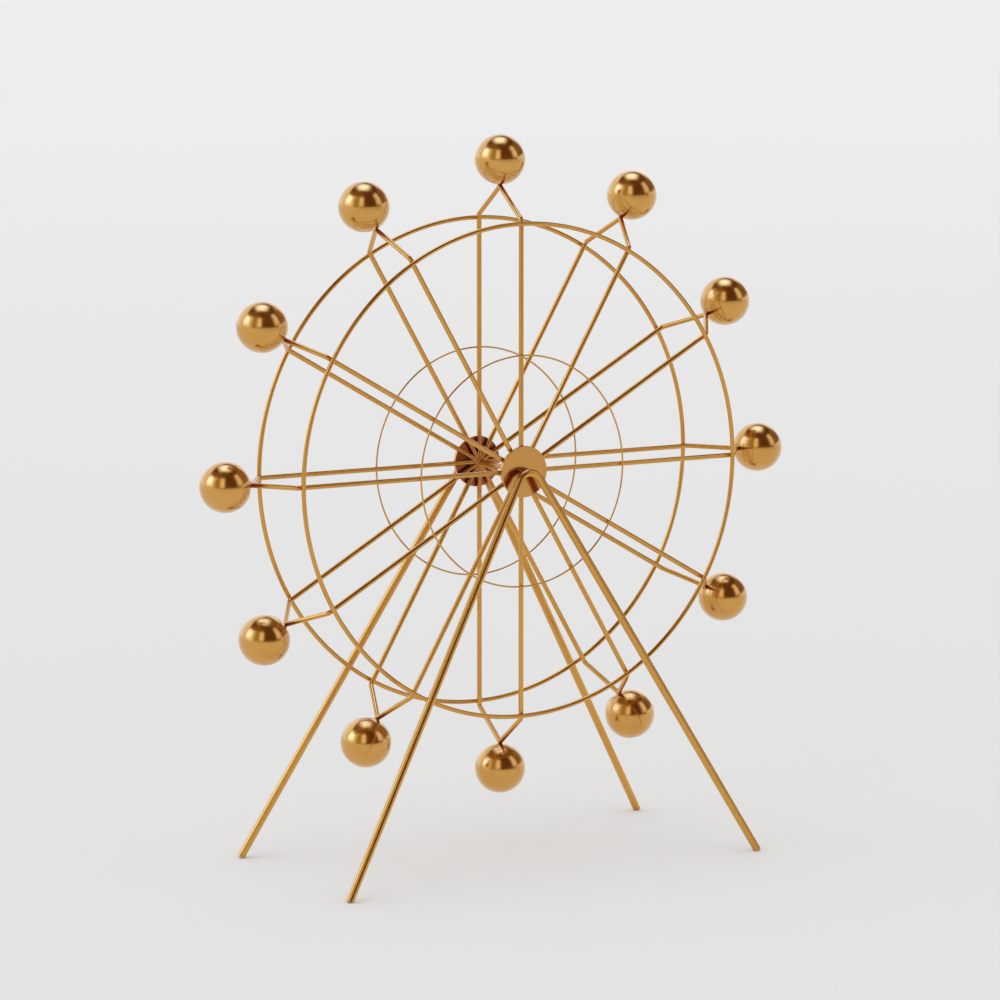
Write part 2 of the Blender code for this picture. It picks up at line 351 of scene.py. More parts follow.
def soft_box_group():
    tree, given, result = new_group(
        "Soft Box", "ShaderNodeTree",
        {"Direction": "Vector", "Turn": "Vector", "Half Width": "Float", "Bottom": "Float", "Top": "Float",
         "Edge": "Float"}, {"Mask": "Float"})
    facing = add_node(tree, "ShaderNodeMapping", {"vector_type": "TEXTURE"},
                      Vector=given["Direction"], Rotation=given["Turn"])
    split = add_node(tree, "ShaderNodeSeparateXYZ", Vector=facing.outputs["Vector"])
    ahead = maths(tree, "MAXIMUM", split.outputs["Y"], JUST_AHEAD)
    across = maths(tree, "ABSOLUTE", maths(tree, "DIVIDE", split.outputs["X"], ahead))
    height = maths(tree, "DIVIDE", split.outputs["Z"], ahead)

    def inside(distance):
        """1 well inside an edge, 0 well outside it, from the signed distance to the edge."""
        return smooth_step(tree, distance, maths(tree, "MULTIPLY", given["Edge"], -1.0), given["Edge"])

    sides = inside(maths(tree, "SUBTRACT", given["Half Width"], across))
    over = inside(maths(tree, "SUBTRACT", height, given["Bottom"]))
    under = inside(maths(tree, "SUBTRACT", given["Top"], height))
    in_front = maths(tree, "GREATER_THAN", split.outputs["Y"], JUST_AHEAD)
    tree.links.new(product(tree, sides, over, under, in_front), result["Mask"])
    return tree


soft_box = soft_box_group()

# %% The studio
ROOM_COLOUR = (0.118, 0.044, 0.016, 1)
# Each box: degrees to the right of the camera and above the level, half width, bottom and top (all
# degrees), soft edge (a slope), and its light
SOFT_BOXES = {
    "front_left_glow": (-45, 0, 48, 40, 66, 0.30, (0.24, 0.12, 0.045, 1)),
    "dim_left_corner": (-33, 0, 20, -5, 49, 0.10, (0.42, 0.33, 0.19, 1)),
    "left_box_flank": (-55, 0, 10, 0, 44, 0.08, (0.82, 0.88, 0.90, 1)),
    "dim_right_corner": (122, 0, 22, 8, 46, 0.10, (0.24, 0.15, 0.09, 1)),
    "low_right_wall": (112, 0, 28, -20, 8, 0.05, (1.00, 1.04, 1.12, 1)),
    "back_left_wall": (-143, 0, 43, -20, 52, 0.26, (1.00, 1.12, 1.34, 1)),
    "back_right_strip": (164, 0, 20, -20, 42, 0.16, (1.00, 1.08, 1.24, 1)),
    "left_box": (-77, 0, 20, 1, 43, 0.12, (1.10, 1.24, 1.56, 1)),
    "left_hot_core": (-78, 0, 15, 13, 38, 0.15, (1.9, 2.6, 5.2, 1)),
    "middle_box": (-9, 0, 9.5, 5, 45, 0.11, (1.16, 1.18, 1.32, 1)),
    "right_box": (77, 0, 13.5, 8, 50, 0.13, (0.97, 1.00, 1.22, 1)),
    "overhead_box": (-177, 79, 17, -20, 20, 0.19, (1.20, 1.25, 1.50, 1)),
    "overhead_hot_core": (-177, 79, 12, -14, 14, 0.22, (1.8, 2.6, 5.2, 1)),
}
FILL_COLOUR = (0.86, 0.86, 0.86, 1)
LAMP_AZIMUTH = math.radians(-65)
LAMP_TILT = math.radians(38)
LAMP_DISC = math.radians(80)
LAMP_STRENGTH = 0.45


def studio_world():
    world = bpy.data.worlds.new("studio")
    world.use_nodes = True
    bpy.context.scene.world = world
    tree = world.node_tree
    direction = add_node(tree, "ShaderNodeTexCoord").outputs["Generated"]
    light = ROOM_COLOUR
    for name, (azimuth, tilt, half_width, bottom, top, edge, colour) in SOFT_BOXES.items():
        turn = (math.radians(tilt), 0, CAMERA_AZIMUTH + math.radians(azimuth + 180))
        box = add_node(tree, "ShaderNodeGroup", {"node_tree": soft_box, "label": name},
                       Direction=direction, Turn=turn, Half_Width=math.tan(math.radians(half_width)),
                       Bottom=math.tan(math.radians(bottom)), Top=math.tan(math.radians(top)), Edge=edge)
        light = mix_colours(tree, box.outputs["Mask"], light, colour)
    mirrored = add_node(tree, "ShaderNodeLightPath").outputs["Is Glossy Ray"]
    shown = mix_colours(tree, mirrored, FILL_COLOUR, light)
    fill_inputs(tree, tree.nodes["Background"], Color=shown, Strength=1.0)


def soft_lamp():
    lamp = bpy.data.lights.new("soft_lamp", "SUN")
    lamp.energy = LAMP_STRENGTH
    lamp.angle = LAMP_DISC
    placed = new_object("soft_lamp", lamp)
    towards = Vector((0, 0, math.cos(LAMP_TILT))) + level_direction(LAMP_AZIMUTH) * math.sin(LAMP_TILT)
    placed.rotation_euler = towards.to_track_quat("Z", "Y").to_euler()
    placed.location = WHEEL_CENTRE + towards
    placed.visible_glossy = False


studio_world()
soft_lamp()
print(len(SOFT_BOXES), "painted boxes, a plain fill and one lamp")

# %% [markdown]
# ## The gold, as node groups
#
# Every piece is brass with a thin coat of gold and clear lacquer. Electroplate is never one even
# colour: it is a little redder where the coat is thin, handling leaves dull smudges, and the metal
# under it has a faint ripple and grain. One group makes all of that, and each finish places it
# with its own colours and sizes. Two more groups add the tool marks: lines along a drawn wire, and
# rings on a turned part. The groups put out only colour, roughness and height.

# %% Gold plate group
# The painted shade in crevices: its dark red, and how much rougher it makes the plate
PAINTED_SHADE_COLOUR = (0.320, 0.058, 0.010, 1)
PAINTED_SHADE_ROUGHNESS = 0.12
SMUDGES_PER_PATCH = 2.7
GRAIN_SHARE = 0.06
# Where in the cloudy pattern thin coat and dull smudges begin, and where they are full
THIN_PATCHES = (0.30, 0.80)
DULL_PATCHES = (0.42, 0.75)


def gold_plate_group():
    tree, given, result = new_group(
        "Gold Plate", "ShaderNodeTree",
        {"Place": "Vector", "Gold": "Color", "Thin Gold": "Color", "Patch Scale": "Float", "Tone": "Float",
         "Polish": "Float", "Smudge": "Float", "Grain Scale": "Float", "Tarnish": "Float"},
        {"Color": "Color", "Roughness": "Float", "Height": "Float"})
    place = given["Place"]
    patch = noise(tree, place, given["Patch Scale"], detail=3.0, roughness=0.55, distortion=0.4)
    thinness = smooth_step(tree, maths(tree, "ADD", patch, given["Tone"]), *THIN_PATCHES)
    colour = mix_colours(tree, thinness, given["Gold"], given["Thin Gold"])
    # Painted shade: the colour goes towards a dark red where the mask is
    with_painted_shade = mix_colours(tree, given["Tarnish"], colour, PAINTED_SHADE_COLOUR)
    tree.links.new(with_painted_shade, result["Color"])

    smudge_scale = maths(tree, "MULTIPLY", given["Patch Scale"], SMUDGES_PER_PATCH)
    smudge = noise(tree, place, smudge_scale, detail=4.0, roughness=0.6, distortion=1.2)
    dulled = smooth_step(tree, smudge, *DULL_PATCHES)
    polished = maths(tree, "MULTIPLY_ADD", dulled, given["Smudge"], given["Polish"])
    roughness = maths(tree, "MULTIPLY_ADD", given["Tarnish"], PAINTED_SHADE_ROUGHNESS, polished)
    tree.links.new(roughness, result["Roughness"])

    grain = noise(tree, place, given["Grain Scale"], detail=2.0)
    tree.links.new(maths(tree, "MULTIPLY_ADD", grain, GRAIN_SHARE, patch), result["Height"])
    return tree


gold_plate = gold_plate_group()

# %% [markdown]
# Between the hub's discs, behind the bend of a leg and in the crease between a spoke's fold and
# its ball, the plate gets painted shade: dark red, and a little duller, so that the joints look
# almost maroon. This group finds those places: near the hub on faces that look at its middle, and
# near the folds on faces that look away from it. The way a face looks is taken in the piece's own
# space, so that the painted shade turns with the wheel.

# %% Crevice shade group
# How far past the disc's edge the hub's painted shade reaches, and where past the rim a fold's
# begins and is full
HUB_REACH = 7.0 * MM
FOLD_START = 10.0 * MM
FOLD_FULL = 13.2 * MM
# How squarely a face looks in or out: where painted shade begins, and where it is full
INWARD_FACING = (0.2, -0.5)
OUTWARD_FACING = (-0.1, 0.7)


def crevice_shade_group():
    tree, given, result = new_group(
        "Crevice Shade", "ShaderNodeTree",
        {"Place": "Vector", "Hub Share": "Float", "Fold Share": "Float"}, {"Mask": "Float"})
    from_centre = vector_maths(tree, "SUBTRACT", given["Place"], WHEEL_CENTRE)
    flat = vector_maths(tree, "MULTIPLY", from_centre, (1, 0, 1))
    radius = vector_maths(tree, "LENGTH", flat)
    turned_with_piece = {"vector_type": "NORMAL", "convert_from": "WORLD", "convert_to": "OBJECT"}
    normal = add_node(tree, "ShaderNodeVectorTransform", turned_with_piece,
                      Vector=add_node(tree, "ShaderNodeNewGeometry").outputs["Normal"]).outputs["Vector"]

    def looks_along(way):
        return vector_maths(tree, "DOT_PRODUCT", vector_maths(tree, "NORMALIZE", way), normal)

    near_hub = smooth_step(tree, radius, disc_radius + HUB_REACH, disc_radius)
    inwards = smooth_step(tree, looks_along(from_centre), *INWARD_FACING)
    near_fold = smooth_step(tree, radius, rim_radius + FOLD_START, rim_radius + FOLD_FULL)
    outwards = smooth_step(tree, looks_along(flat), *OUTWARD_FACING)
    # The mask of painted shade: near the hub facing in, near the folds facing out
    tree.links.new(maths(tree, "MAXIMUM", product(tree, near_hub, inwards, given["Hub Share"]),
                         product(tree, near_fold, outwards, given["Fold Share"])), result["Mask"])
    return tree


crevice_shade = crevice_shade_group()

# %% Tool mark groups
WIRE_LINE_PITCH = 0.22 * MM
WIRE_LINE_LENGTH = 9.0 * MM
TURNED_LINE_PITCH = 0.16 * MM


def drawn_lines_group():
    """Fine lines along a wire, from the wire's own coordinates: two across it and one along it."""
    tree, given, result = new_group("Drawn Lines", "ShaderNodeTree", {"Place": "Vector"}, {"Height": "Float"})
    scale = (1 / WIRE_LINE_PITCH, 1 / WIRE_LINE_PITCH, 1 / WIRE_LINE_LENGTH)
    stretched = add_node(tree, "ShaderNodeMapping", Vector=given["Place"], Scale=scale)
    tree.links.new(noise(tree, stretched.outputs["Vector"], scale=1.0, detail=2.0), result["Height"])
    return tree


def turned_lines_group():
    """Fine rings round the axle, from the distance to it and the place along it."""
    tree, given, result = new_group("Turned Lines", "ShaderNodeTree", {"Place": "Vector"}, {"Height": "Float"})
    from_centre = vector_maths(tree, "SUBTRACT", given["Place"], WHEEL_CENTRE)
    radius = vector_maths(tree, "LENGTH", vector_maths(tree, "MULTIPLY", from_centre, (1, 0, 1)))
    along = add_node(tree, "ShaderNodeSeparateXYZ", Vector=from_centre).outputs["Y"]
    rings = add_node(tree, "ShaderNodeCombineXYZ", X=radius, Y=along)
    lines = noise(tree, rings.outputs["Vector"], 1 / TURNED_LINE_PITCH, detail=3.0, roughness=0.6)
    tree.links.new(lines, result["Height"])
    return tree


TOOL_MARKS = {"drawn": drawn_lines_group(), "turned": turned_lines_group()}

# %% [markdown]
# ## The finishes
#
# One recipe makes every gold finish. The Principled shader stays in the material and carries what
# is the same all over: full metal and a thin clear lacquer, which whitens the mirror at the limb of
# a ball and in its highlights. The photograph's wires look less whitened, so they get less of it.
# The groups feed colour, roughness and bump.

# %% Finish recipe
GOLD = (0.712, 0.370, 0.066, 1)
THIN_GOLD = (0.672, 0.330, 0.052, 1)
BRASS = (0.640, 0.440, 0.160, 1)
LACQUER = 1.00
WIRE_LACQUER = 0.55
LACQUER_ROUGHNESS = 0.12
RIPPLE_DEPTH = 0.010 * MM


def gold_finish(name, gold=GOLD, thin_gold=THIN_GOLD, patch=14 * MM, polish=0.19, smudge=0.06,
                grain=0.12 * MM, marks=None, mark_depth=0.0010 * MM, own_tone=False, hub_tarnish=0.0,
                fold_painted_shade=0.0, lacquer=LACQUER):
    material, tree, shader, place = new_material(name)
    plate = add_node(tree, "ShaderNodeGroup", {"node_tree": gold_plate}, Place=place, Gold=gold,
                     Thin_Gold=thin_gold, Patch_Scale=1 / patch, Polish=polish, Smudge=smudge,
                     Grain_Scale=1 / grain)
    # Painted shade near the hub and at the folds, where the finish asks for it
    if hub_tarnish or fold_painted_shade:
        shade_mask = add_node(tree, "ShaderNodeGroup", {"node_tree": crevice_shade}, Place=place,
                          Hub_Share=hub_tarnish, Fold_Share=fold_painted_shade)
        tree.links.new(shade_mask.outputs["Mask"], plate.inputs["Tarnish"])
    if own_tone:
        tone = add_node(tree, "ShaderNodeAttribute", {"attribute_name": "tone"})
        tree.links.new(tone.outputs["Fac"], plate.inputs["Tone"])
    ripple = add_node(tree, "ShaderNodeBump", Height=plate.outputs["Height"], Distance=RIPPLE_DEPTH)
    surface = ripple.outputs["Normal"]
    if marks == "drawn":
        place = add_node(tree, "ShaderNodeAttribute", {"attribute_name": "wire_place"}).outputs["Vector"]
    if marks:
        lines = add_node(tree, "ShaderNodeGroup", {"node_tree": TOOL_MARKS[marks]}, Place=place)
        surface = add_node(tree, "ShaderNodeBump", Height=lines.outputs["Height"], Distance=mark_depth,
                           Normal=surface).outputs["Normal"]
    fill_inputs(tree, shader, Base_Color=plate.outputs["Color"], Roughness=plate.outputs["Roughness"],
                Normal=surface, Metallic=1.0, Coat_Weight=lacquer, Coat_Roughness=LACQUER_ROUGHNESS)
    return material


# %% The object's finishes
# The hub and fold shares set how much painted shade each finish gets
ball_gold = gold_finish("ball_gold", patch=11 * MM, polish=0.19, smudge=0.05, own_tone=True)
spoke_gold = gold_finish("spoke_wire_gold", patch=9 * MM, polish=0.22, smudge=0.10, marks="drawn", own_tone=True,
                         hub_tarnish=0.35, fold_painted_shade=0.85, lacquer=WIRE_LACQUER)
rim_gold = gold_finish("rim_wire_gold", patch=12 * MM, polish=0.21, smudge=0.10, marks="drawn",
                       lacquer=WIRE_LACQUER)
inner_gold = gold_finish("inner_wire_gold", patch=8 * MM, polish=0.24, smudge=0.08, marks="drawn",
                         lacquer=WIRE_LACQUER)
leg_gold = gold_finish("leg_rod_gold", patch=16 * MM, polish=0.24, smudge=0.07, marks="drawn",
                       hub_tarnish=0.95, lacquer=WIRE_LACQUER)
disc_gold = gold_finish("hub_disc_gold", gold=(0.690, 0.325, 0.058, 1), patch=7 * MM, polish=0.17,
                        smudge=0.06, marks="turned", mark_depth=0.0012 * MM, hub_tarnish=0.9)
tube_gold = gold_finish("hub_tube_gold", patch=5 * MM, polish=0.24, smudge=0.10, marks="turned", hub_tarnish=0.4)
axle_brass = gold_finish("axle_brass", gold=BRASS, thin_gold=(0.56, 0.36, 0.12, 1), patch=4 * MM, polish=0.28,
                         smudge=0.12, marks="turned")
spacer_brass = gold_finish("spacer_brass", gold=BRASS, thin_gold=(0.58, 0.38, 0.13, 1), patch=3 * MM,
                           polish=0.26, smudge=0.12, marks="turned")
braze_gold = gold_finish("braze_gold", gold=(0.62, 0.28, 0.07, 1), patch=1.5 * MM, polish=0.30, smudge=0.15,
                         hub_tarnish=0.5, fold_painted_shade=1.0)
print(len(bpy.data.materials), "materials")

# %% [markdown]
# ## From a tree to a plain mesh
#
# Geometry Nodes make everything here that follows a path or repeats. Each tree runs as a modifier
# on a small base mesh. Its inputs are set by their identifiers before anything is evaluated, then
# the result is copied into a plain mesh and the modifier goes.

# %% Running a tree
SHARP_ANGLE = math.radians(35)


def evaluated_copy(worked):
    bpy.context.view_layer.update()
    mesh = bpy.data.meshes.new_from_object(worked.evaluated_get(bpy.context.evaluated_depsgraph_get()))
    worked.modifiers.clear()
    worked.data = mesh
    return worked


def run_tree(tree, name, base, **values):
    """The object that the tree makes of the base mesh, with no modifier left."""
    worked = new_object(name, base)
    modifier = worked.modifiers.new(tree.name, "NODES")
    modifier.node_group = tree
    for item in tree.interface.items_tree:
        key = item.name.replace(" ", "_")
        if item.item_type == "SOCKET" and item.in_out == "INPUT" and key in values:
            modifier[item.identifier] = values[key]
    evaluated_copy(worked)
    worked.data.set_sharp_from_angle(angle=SHARP_ANGLE)
    return worked


# %% Fitting a piece to the frame
def fit(piece, body, slot, *nodes):
    """Rides the piece on its body, lets it stand for its nodes, and prints how the boxes compare."""
    off = [pick(vertex.co[axis] for vertex in piece.data.vertices) - pick(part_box(node)[end][axis] for node in nodes)
           for end, pick in enumerate((min, max)) for axis in range(3)]
    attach(piece, body)
    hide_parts(*nodes)
    print(f"{piece.name}: {len(piece.data.polygons)} faces, low and high corner off by",
          " ".join(f"{value / MM:+.2f}" for value in off), "mm")


# %% [markdown]
# ## Wires that follow a path
#
# A spoke and a leg are both round wire, bent in a jig. The jig is a short line of corners, and each
# corner knows the radius of its bend. The tree turns the line into a curve, rounds the corners,
# and sweeps a circle along it. It also writes the wire's own coordinates on the surface: two
# across the wire and one along it, which the drawn lines follow. A hand-made curve with a bevel
# would give the same tube, but not those coordinates.

# %% Swept wire tree
def shape_group(name, sizes):
    """A tree that is given a shape, its sizes and its material, and puts out a shape."""
    return new_group(name, "GeometryNodeTree", {"Geometry": "Geometry", **sizes, "Material": "Material"},
                     {"Geometry": "Geometry"})


def write(tree, geometry, name, value, kind="FLOAT", domain="POINT"):
    """The geometry with a named attribute written on it."""
    return add_node(tree, "GeometryNodeStoreNamedAttribute", {"data_type": kind, "domain": domain},
                    Geometry=geometry, Name=name, Value=value).outputs["Geometry"]


def read(tree, name, kind="FLOAT"):
    return add_node(tree, "GeometryNodeInputNamedAttribute", {"data_type": kind}, Name=name).outputs["Attribute"]


def sweep(tree, line, given):
    """Sweeps a wire along the line and writes wire_place on it."""
    circle = add_node(tree, "GeometryNodeCurvePrimitiveCircle", Resolution=given["Sides"],
                      Radius=given["Wire Radius"]).outputs["Curve"]
    length = add_node(tree, "GeometryNodeSplineParameter").outputs["Length"]
    position = add_node(tree, "GeometryNodeInputPosition").outputs["Position"]
    swept = add_node(tree, "GeometryNodeCurveToMesh", Curve=write(tree, line, "along", length), Fill_Caps=True,
                     Profile_Curve=write(tree, circle, "across", position, "FLOAT_VECTOR"))
    split = add_node(tree, "ShaderNodeSeparateXYZ", Vector=read(tree, "across", "FLOAT_VECTOR"))
    place = add_node(tree, "ShaderNodeCombineXYZ", X=split.outputs["X"], Y=split.outputs["Y"],
                     Z=read(tree, "along"))
    written = write(tree, swept.outputs["Mesh"], "wire_place", place.outputs["Vector"], "FLOAT_VECTOR")
    return add_node(tree, "GeometryNodeSetShadeSmooth", Geometry=written).outputs["Geometry"]


def finish_tree(tree, geometry, given, result):
    """Every tree ends the same way: real geometry, in its own finish."""
    real = add_node(tree, "GeometryNodeRealizeInstances", Geometry=geometry)
    coated = add_node(tree, "GeometryNodeSetMaterial", Geometry=real.outputs["Geometry"],
                      Material=given["Material"])
    tree.links.new(coated.outputs["Geometry"], result["Geometry"])
    return tree


def swept_wire_tree():
    tree, given, result = shape_group("Swept Wire", {"Wire Radius": "Float", "Bend Steps": "Int", "Sides": "Int"})
    line = add_node(tree, "GeometryNodeMeshToCurve", Mesh=given["Geometry"])
    bent = add_node(tree, "GeometryNodeFilletCurve", {"mode": "POLY"}, Curve=line.outputs["Curve"],
                    Count=given["Bend Steps"], Radius=read(tree, "bend_radius"), Limit_Radius=True)
    return finish_tree(tree, sweep(tree, bent.outputs["Curve"], given), given, result)


swept_wire = swept_wire_tree()


def jig(name, corners, bends):
    """A line of corners, each with the radius of its bend."""
    work = bmesh.new()
    add_line(work, corners)
    mesh = mesh_from(work, name)
    mesh.attributes.new("bend_radius", "FLOAT", "POINT").data.foreach_set("value", bends)
    return mesh


# %% [markdown]
# ## The legs
#
# Each leg is one rod, bent once over the axle. It stands in a plane that leans outwards, so the
# four feet stand wider than the wheel. The rod's ends are sawn square and then ground flat on
# the floor. Here the rod is swept a little too long and cut with the floor plane, and a small bevel
# takes the burr off the cut edges.

# %% Leg sizes
LEG_RADIUS = 1.6 * MM
LEG_BEND_RADIUS = 5.5 * MM
LEG_GAP = 0.3 * MM
FOOT_HALF_SPREAD = 95.7 * MM
FOOT_HALF_TRACK = 47.4 * MM
FOOT_FLAT_DEPTH = 0.5 * MM
LEG_SIDES = 40
LEG_BEND_STEPS = 28
BURR = 0.12 * MM

leg_plane = spacer_plane + spacer_length / 2 + LEG_GAP + LEG_RADIUS
leg_lean = math.atan2(FOOT_HALF_TRACK - leg_plane, WHEEL_CENTRE.z)
leg_drop = WHEEL_CENTRE.z / math.cos(leg_lean)
below_bend = leg_drop - LEG_BEND_RADIUS
leg_splay = (math.atan2(FOOT_HALF_SPREAD, below_bend)
             - math.asin(LEG_BEND_RADIUS / math.hypot(FOOT_HALF_SPREAD, below_bend)))
rod_steepness = math.cos(leg_splay) * math.cos(leg_lean)
foot_trim = (LEG_RADIUS * math.sqrt(1 - rod_steepness ** 2) - FOOT_FLAT_DEPTH) / rod_steepness
print(f"legs splay {math.degrees(leg_splay):.1f} degrees and lean {math.degrees(leg_lean):.1f} degrees")


# %% Cutting and deburring
def cut_off(work, point, normal):
    """Cuts away the side that the normal points to, and closes the cut."""
    everything = list(work.verts) + list(work.edges) + list(work.faces)
    cut = bmesh.ops.bisect_plane(work, geom=everything, dist=0, plane_co=point, plane_no=normal,
                                 clear_outer=True)
    rim = [item for item in cut["geom_cut"] if isinstance(item, bmesh.types.BMEdge)]
    if rim:
        bmesh.ops.edgeloop_fill(work, edges=rim)


def deburr(piece, width):
    """A small rounded bevel on the sharp edges only."""
    bevel = piece.modifiers.new("deburr", "BEVEL")
    bevel.limit_method = "ANGLE"
    bevel.angle_limit = SHARP_ANGLE
    bevel.width = width
    bevel.segments = 2
    evaluated_copy(piece)
    piece.data.shade_smooth()
    return piece


# %% Bend the legs
def leg(name, side):
    foot = Vector((FOOT_HALF_SPREAD, 0, -leg_drop))
    down = Vector((math.sin(leg_splay), 0, -math.cos(leg_splay)))
    end = foot - down * foot_trim
    corner = (0, 0, LEG_BEND_RADIUS / math.sin(leg_splay) - LEG_BEND_RADIUS)
    base = jig(name + "_jig", [(-end.x, 0, end.z), corner, tuple(end)], [0.0, LEG_BEND_RADIUS, 0.0])
    piece = run_tree(swept_wire, name, base, Wire_Radius=LEG_RADIUS, Bend_Steps=LEG_BEND_STEPS,
                     Sides=LEG_SIDES, Material=leg_gold)
    stand_up = (Matrix.Translation((0, side * leg_plane, WHEEL_CENTRE.z))
                @ Matrix.Rotation(side * leg_lean, 4, "X"))
    work = bmesh.new()
    work.from_mesh(piece.data)
    bmesh.ops.transform(work, matrix=stand_up, verts=work.verts)
    cut_off(work, (0, 0, 0), (0, 0, -1))
    bmesh.ops.recalc_face_normals(work, faces=work.faces)
    work.to_mesh(piece.data)
    work.free()
    return deburr(piece, BURR)


fit(leg("leg_front", -1), "stand", "leg_rod", "front_leg")
fit(leg("leg_back", 1), "stand", "leg_rod", "back_leg")

# %% [markdown]
# ## Twelve of everything
#
# The wheel is one spoke wire, one ball and a few solder joints, repeated twelve times round the
# axle. The maker's jig has twelve pins, and the tree has a count. It sets the piece on the
# axle once for each, turned by a twelfth of a turn, clockwise from the front. It also gives each
# copy a small tone of its own from a fixed seed, because no two parts come out of the plating bath
# quite alike.

# %% Round the wheel tree
def round_the_wheel_tree():
    tree, given, result = shape_group(
        "Round The Wheel", {"Count": "Int", "Centre": "Vector", "Tone Spread": "Float", "Seed": "Int"})
    one = add_node(tree, "GeometryNodeTransform", Geometry=given["Geometry"],
                   Translation=vector_maths(tree, "MULTIPLY", given["Centre"], (-1, -1, -1)))
    pins = add_node(tree, "GeometryNodePoints", Count=given["Count"], Position=given["Centre"])
    index = add_node(tree, "GeometryNodeInputIndex").outputs["Index"]
    turn = maths(tree, "MULTIPLY", index, maths(tree, "DIVIDE", math.tau, given["Count"]))
    rotation = add_node(tree, "ShaderNodeCombineXYZ", Y=turn)
    placed = add_node(tree, "GeometryNodeInstanceOnPoints", Points=pins.outputs[0],
                      Instance=one.outputs["Geometry"], Rotation=rotation.outputs["Vector"])
    chance = add_node(tree, "FunctionNodeRandomValue", {"data_type": "FLOAT"}, ID=index, Seed=given["Seed"])
    random = [socket for socket in chance.outputs if socket.enabled][0]
    spread = maths(tree, "MULTIPLY", maths(tree, "SUBTRACT", random, 0.5), given["Tone Spread"])
    toned = write(tree, placed.outputs["Instances"], "tone", spread, domain="INSTANCE")
    return finish_tree(tree, toned, given, result)


round_the_wheel = round_the_wheel_tree()


def twelve(name, base, material, seed, tone_spread=0.25):
    return run_tree(round_the_wheel, name, base, Count=ARM_COUNT, Centre=tuple(WHEEL_CENTRE),
                    Tone_Spread=tone_spread, Seed=seed, Material=material)


# %% [markdown]
# ## The spoke wires
#
# A spoke is one wire that carries one ball. It leaves the hub at the front, runs straight out past
# the rim, kinks, slants in to the wheel's middle where the ball sits on its sharp fold, and runs
# back to the hub the same way. At the hub its two ends are filed to wedges, so that the twelve
# spokes close up round the tube like slices of a cake.

# %% Bend one spoke and repeat it
KINK_PAST_RIM = 1.65 * MM
KINK_RADIUS = 1.6 * MM
V_HEIGHT = 12.3 * MM
FOLD_RADIUS = 0.9 * MM
ROOT_RADIUS = 1.5 * MM
FILED_GAP = 0.06 * MM
SPOKE_SIDES = 24
SPOKE_BEND_STEPS = 10
arm_kink = rim_radius + KINK_PAST_RIM
arm_tip = arm_kink + V_HEIGHT


def spoke_mesh():
    corners = [(0, -arm_plane, 0), (0, -arm_plane, arm_kink), (0, 0, arm_tip),
               (0, arm_plane, arm_kink), (0, arm_plane, 0)]
    base = jig("spoke_jig", corners, [0.0, KINK_RADIUS, FOLD_RADIUS, KINK_RADIUS, 0.0])
    bent = run_tree(swept_wire, "spoke_bent", base, Wire_Radius=arm_radius, Bend_Steps=SPOKE_BEND_STEPS,
                    Sides=SPOKE_SIDES, Material=spoke_gold)
    work = bmesh.new()
    work.from_mesh(bent.data)
    bpy.data.objects.remove(bent)
    cut_off(work, (0, 0, ROOT_RADIUS), (0, 0, -1))
    half_slice = math.pi / ARM_COUNT
    for side in (1, -1):
        slope = Vector((side * math.cos(half_slice), 0, -math.sin(half_slice)))
        cut_off(work, slope * (-FILED_GAP / 2), slope)
    bmesh.ops.recalc_face_normals(work, faces=work.faces)
    bmesh.ops.translate(work, verts=work.verts, vec=WHEEL_CENTRE)
    return smooth_mesh(work, "spoke")


arm_nodes = [f"{side}_arm_{index + 1:02d}" for side in ("front", "back") for index in range(ARM_COUNT)]
fit(twelve("spoke_wires", spoke_mesh(), spoke_gold, seed=3), "wheel", "arm_wire", *arm_nodes)

# %% [markdown]
# ## The hoops
#
# The rim and the inner ring are wire rolled to a circle and closed with a butt joint. A tree draws
# the circle by its radius and sweeps the wire round it, so the same tree serves all four hoops.

# %% Hoop tree
def hoop_tree():
    tree, given, result = shape_group(
        "Wire Hoop", {"Hoop Radius": "Float", "Wire Radius": "Float", "Steps": "Int", "Sides": "Int",
                      "Centre": "Vector"})
    ring = add_node(tree, "GeometryNodeCurvePrimitiveCircle", Resolution=given["Steps"],
                    Radius=given["Hoop Radius"])
    upright = add_node(tree, "GeometryNodeTransform", Geometry=ring.outputs["Curve"],
                       Translation=given["Centre"], Rotation=(math.radians(90), 0, 0))
    return finish_tree(tree, sweep(tree, upright.outputs["Geometry"], given), given, result)


wire_hoop = hoop_tree()


def hoop(name, radius, wire, plane, steps, sides, material):
    return run_tree(wire_hoop, name, bpy.data.meshes.new(name + "_base"), Hoop_Radius=radius, Wire_Radius=wire,
                    Steps=steps, Sides=sides, Centre=(0.0, plane, WHEEL_CENTRE.z), Material=material)


# %% Roll the hoops
RIM_STEPS, RIM_SIDES = 288, 24
RING_STEPS, RING_SIDES = 192, 16
SIDES = {"front": -1, "back": 1}

for side_name, side in SIDES.items():
    rim = hoop("rim_hoop_" + side_name, rim_radius, rim_wire, side * rim_plane, RIM_STEPS, RIM_SIDES, rim_gold)
    fit(rim, "wheel", "rim_wire", side_name + "_rim_ring")
    ring = hoop("inner_hoop_" + side_name, inner_radius, inner_wire, side * inner_plane, RING_STEPS, RING_SIDES,
                inner_gold)
    fit(ring, "wheel", "inner_ring_wire", side_name + "_inner_ring")

# %% [markdown]
# ## Turned parts
#
# Balls, discs, the tube, the axle, its spacers and even the little solder joints are all round
# about one axis. They come from one lathe: a section, given as distances from the axis and heights
# along it, is turned in fine steps. Where the section starts or ends on the axis the lathe closes
# it with a fan round one shared point, so that no hole or crease is left at a pole.

# %% Lathe
def above_axle(height):
    return WHEEL_CENTRE + Vector((0, 0, height))


